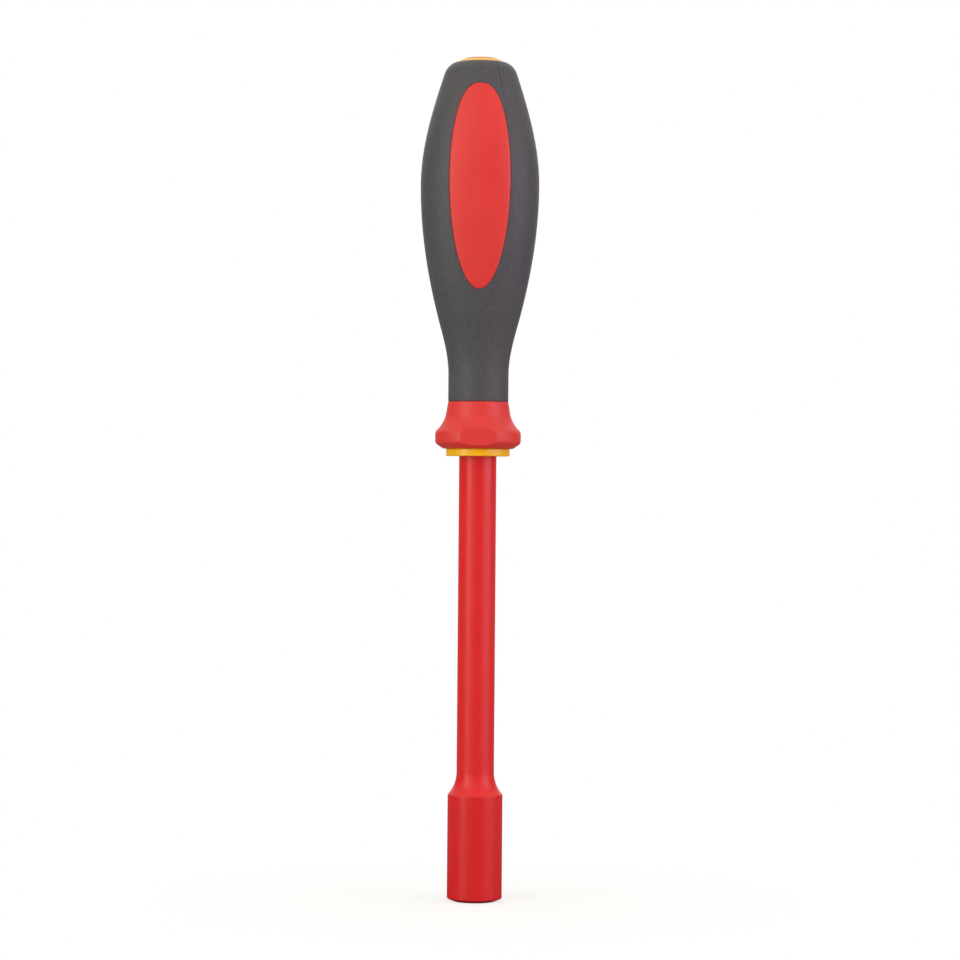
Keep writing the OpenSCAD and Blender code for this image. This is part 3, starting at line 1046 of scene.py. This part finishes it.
lights = {
    "left": {
        "turn": -52.0,
        "rise": 10.0,
        "far": 1.15,
        "size": (0.42, 0.85),
        "power": 6.15,
        "tint": (1.0, 0.98, 0.88),
    },
    "near": {
        "turn": -24.0,
        "rise": 20.0,
        "far": 1.15,
        "size": (0.3, 0.85),
        "power": 1.4,
        "tint": (1.0, 0.99, 0.84),
    },
    "right": {
        "turn": 64.0,
        "rise": 10.0,
        "far": 1.2,
        "size": (1.05, 0.85),
        "power": 8.0,
        "tint": (1.0, 0.88, 1.0),
    },
}
room = {
    "fill": 0.16,
    "ceiling": 0.87,
    "ceilingRise": (0.25, 0.65),
    "ceilingTint": (1.0, 0.99, 0.8, 1),
    "backdrop": (0.0, 0.85, 0.53),
    "backdropEdge": (0.7, 0.85),
}
floorLook = {
    "size": 6.0,
    "drop": 0.00002,
    "bounce": (0.35, 0.6),
    "bounceFar": (0.03, 0.14),
    "inMirrors": 0.25,
    "seen": 0.9,
    "fade": (0.02, 0.1),
    "shadow": 0.25,
    "mirrored": (0.1, 1.5),
    "mirror": 0.2,
    "roughness": 0.9,
    "specular": 0.1,
}


def makeLights():
    target = Vector((0, 0, cameraView["height"] * mm))
    for name, light in lights.items():
        data = bpy.data.lights.new(name, "AREA")
        data.shape = "RECTANGLE"
        data.size, data.size_y = light["size"]
        data.energy = light["power"]
        data.color = light["tint"]
        lamp = bpy.data.objects.new(name, data)
        bpy.context.scene.collection.objects.link(lamp)
        turn, rise = math.radians(light["turn"]), math.radians(light["rise"])
        aim = Vector((math.sin(turn) * math.cos(rise), -math.cos(turn) * math.cos(rise), math.sin(rise)))
        lamp.location = target + aim * light["far"]
        lamp.rotation_euler = aim.to_track_quat("Z", "Y").to_euler()


def makeRoom():
    world = bpy.data.worlds.new("room")
    bpy.context.scene.world = world
    world.use_nodes = True
    tree = world.node_tree
    tree.nodes.clear()
    path = tree.nodes.new("ShaderNodeLightPath").outputs
    view = tree.nodes.new("ShaderNodeTexCoord").outputs["Generated"]
    facing = addNode(tree, "ShaderNodeVectorMath", operation="DOT_PRODUCT")
    tree.links.new(view, facing.inputs[0])
    facing.inputs[1].default_value = room["backdrop"]
    behind = addRange(tree, facing.outputs["Value"], *room["backdropEdge"], 0.0, 1.0)
    mirrored = addMath(tree, "MULTIPLY", path["Is Glossy Ray"], behind)  # the backdrop in glossy surfaces
    seen = addMath(tree, "MAXIMUM", path["Is Camera Ray"], path["Is Transmission Ray"])
    backdrop = addNode(tree, "ShaderNodeBackground", Color=white, Strength=1.0)
    fill = addNode(tree, "ShaderNodeBackground", Color=white, Strength=room["fill"])
    axes = tree.nodes.new("ShaderNodeSeparateXYZ")
    tree.links.new(view, axes.inputs[0])
    above = addRange(tree, axes.outputs["Z"], *room["ceilingRise"], 0.0, room["ceiling"])
    ceiling = addNode(tree, "ShaderNodeBackground", Color=room["ceilingTint"])
    tree.links.new(above, ceiling.inputs["Strength"])
    lit = tree.nodes.new("ShaderNodeAddShader")
    tree.links.new(fill.outputs[0], lit.inputs[0])
    tree.links.new(ceiling.outputs[0], lit.inputs[1])
    pure = addMath(tree, "MAXIMUM", seen, mirrored)
    result = mixShaders(tree, pure, lit.outputs[0], backdrop.outputs[0])
    out = tree.nodes.new("ShaderNodeOutputWorld")
    tree.links.new(result, out.inputs["Surface"])


def makeFloor():  # white to the camera apart from a soft shadow, and a weaker bounce near the tool
    f = floorLook
    bpy.ops.mesh.primitive_plane_add(size=f["size"], location=(0, 0, -f["drop"]))
    floor = bpy.context.object
    floor.name = "floor"
    material = bpy.data.materials.new("floorPale")
    material.use_nodes = True
    tree = material.node_tree
    shader = tree.nodes["Principled BSDF"]
    shader.inputs["Roughness"].default_value = f["roughness"]
    shader.inputs["Specular IOR Level"].default_value = f["specular"]
    path = tree.nodes.new("ShaderNodeLightPath").outputs
    seen = addMath(tree, "MAXIMUM", path["Is Camera Ray"], path["Is Transmission Ray"])
    distance = addNode(tree, "ShaderNodeVectorMath", operation="LENGTH")
    tree.links.new(tree.nodes.new("ShaderNodeTexCoord").outputs["Object"], distance.inputs[0])
    away = distance.outputs["Value"]
    dull = addRange(tree, path["Is Glossy Ray"], 0.0, 1.0, 1.0, f["inMirrors"])
    bounce = addMath(tree, "MULTIPLY", addRange(tree, away, *f["bounceFar"], *f["bounce"]), dull)
    level = addMath(tree, "MAXIMUM", bounce, addMath(tree, "MULTIPLY", seen, f["seen"]))
    tree.links.new(addGrey(tree, level), shader.inputs["Base Color"])
    clear = addRange(tree, away, *f["fade"], 1 - f["shadow"], 1.0)
    distant = addRange(tree, away, *f["mirrored"], 0.0, f["mirror"])
    pure = addMath(tree, "MULTIPLY", seen, clear)
    mirrored = addMath(tree, "MULTIPLY", path["Is Glossy Ray"], distant)
    glow = addNode(tree, "ShaderNodeEmission", Color=white, Strength=1.0)
    result = mixShaders(tree, addMath(tree, "MAXIMUM", pure, mirrored), shader.outputs[0], glow.outputs[0])
    tree.links.new(result, tree.nodes["Material Output"].inputs["Surface"])
    floor.data.materials.append(material)


makeCamera()
makeLights()
makeRoom()
makeFloor()
bpy.context.scene.view_settings.view_transform = "Standard"
print("camera, lights and room made")
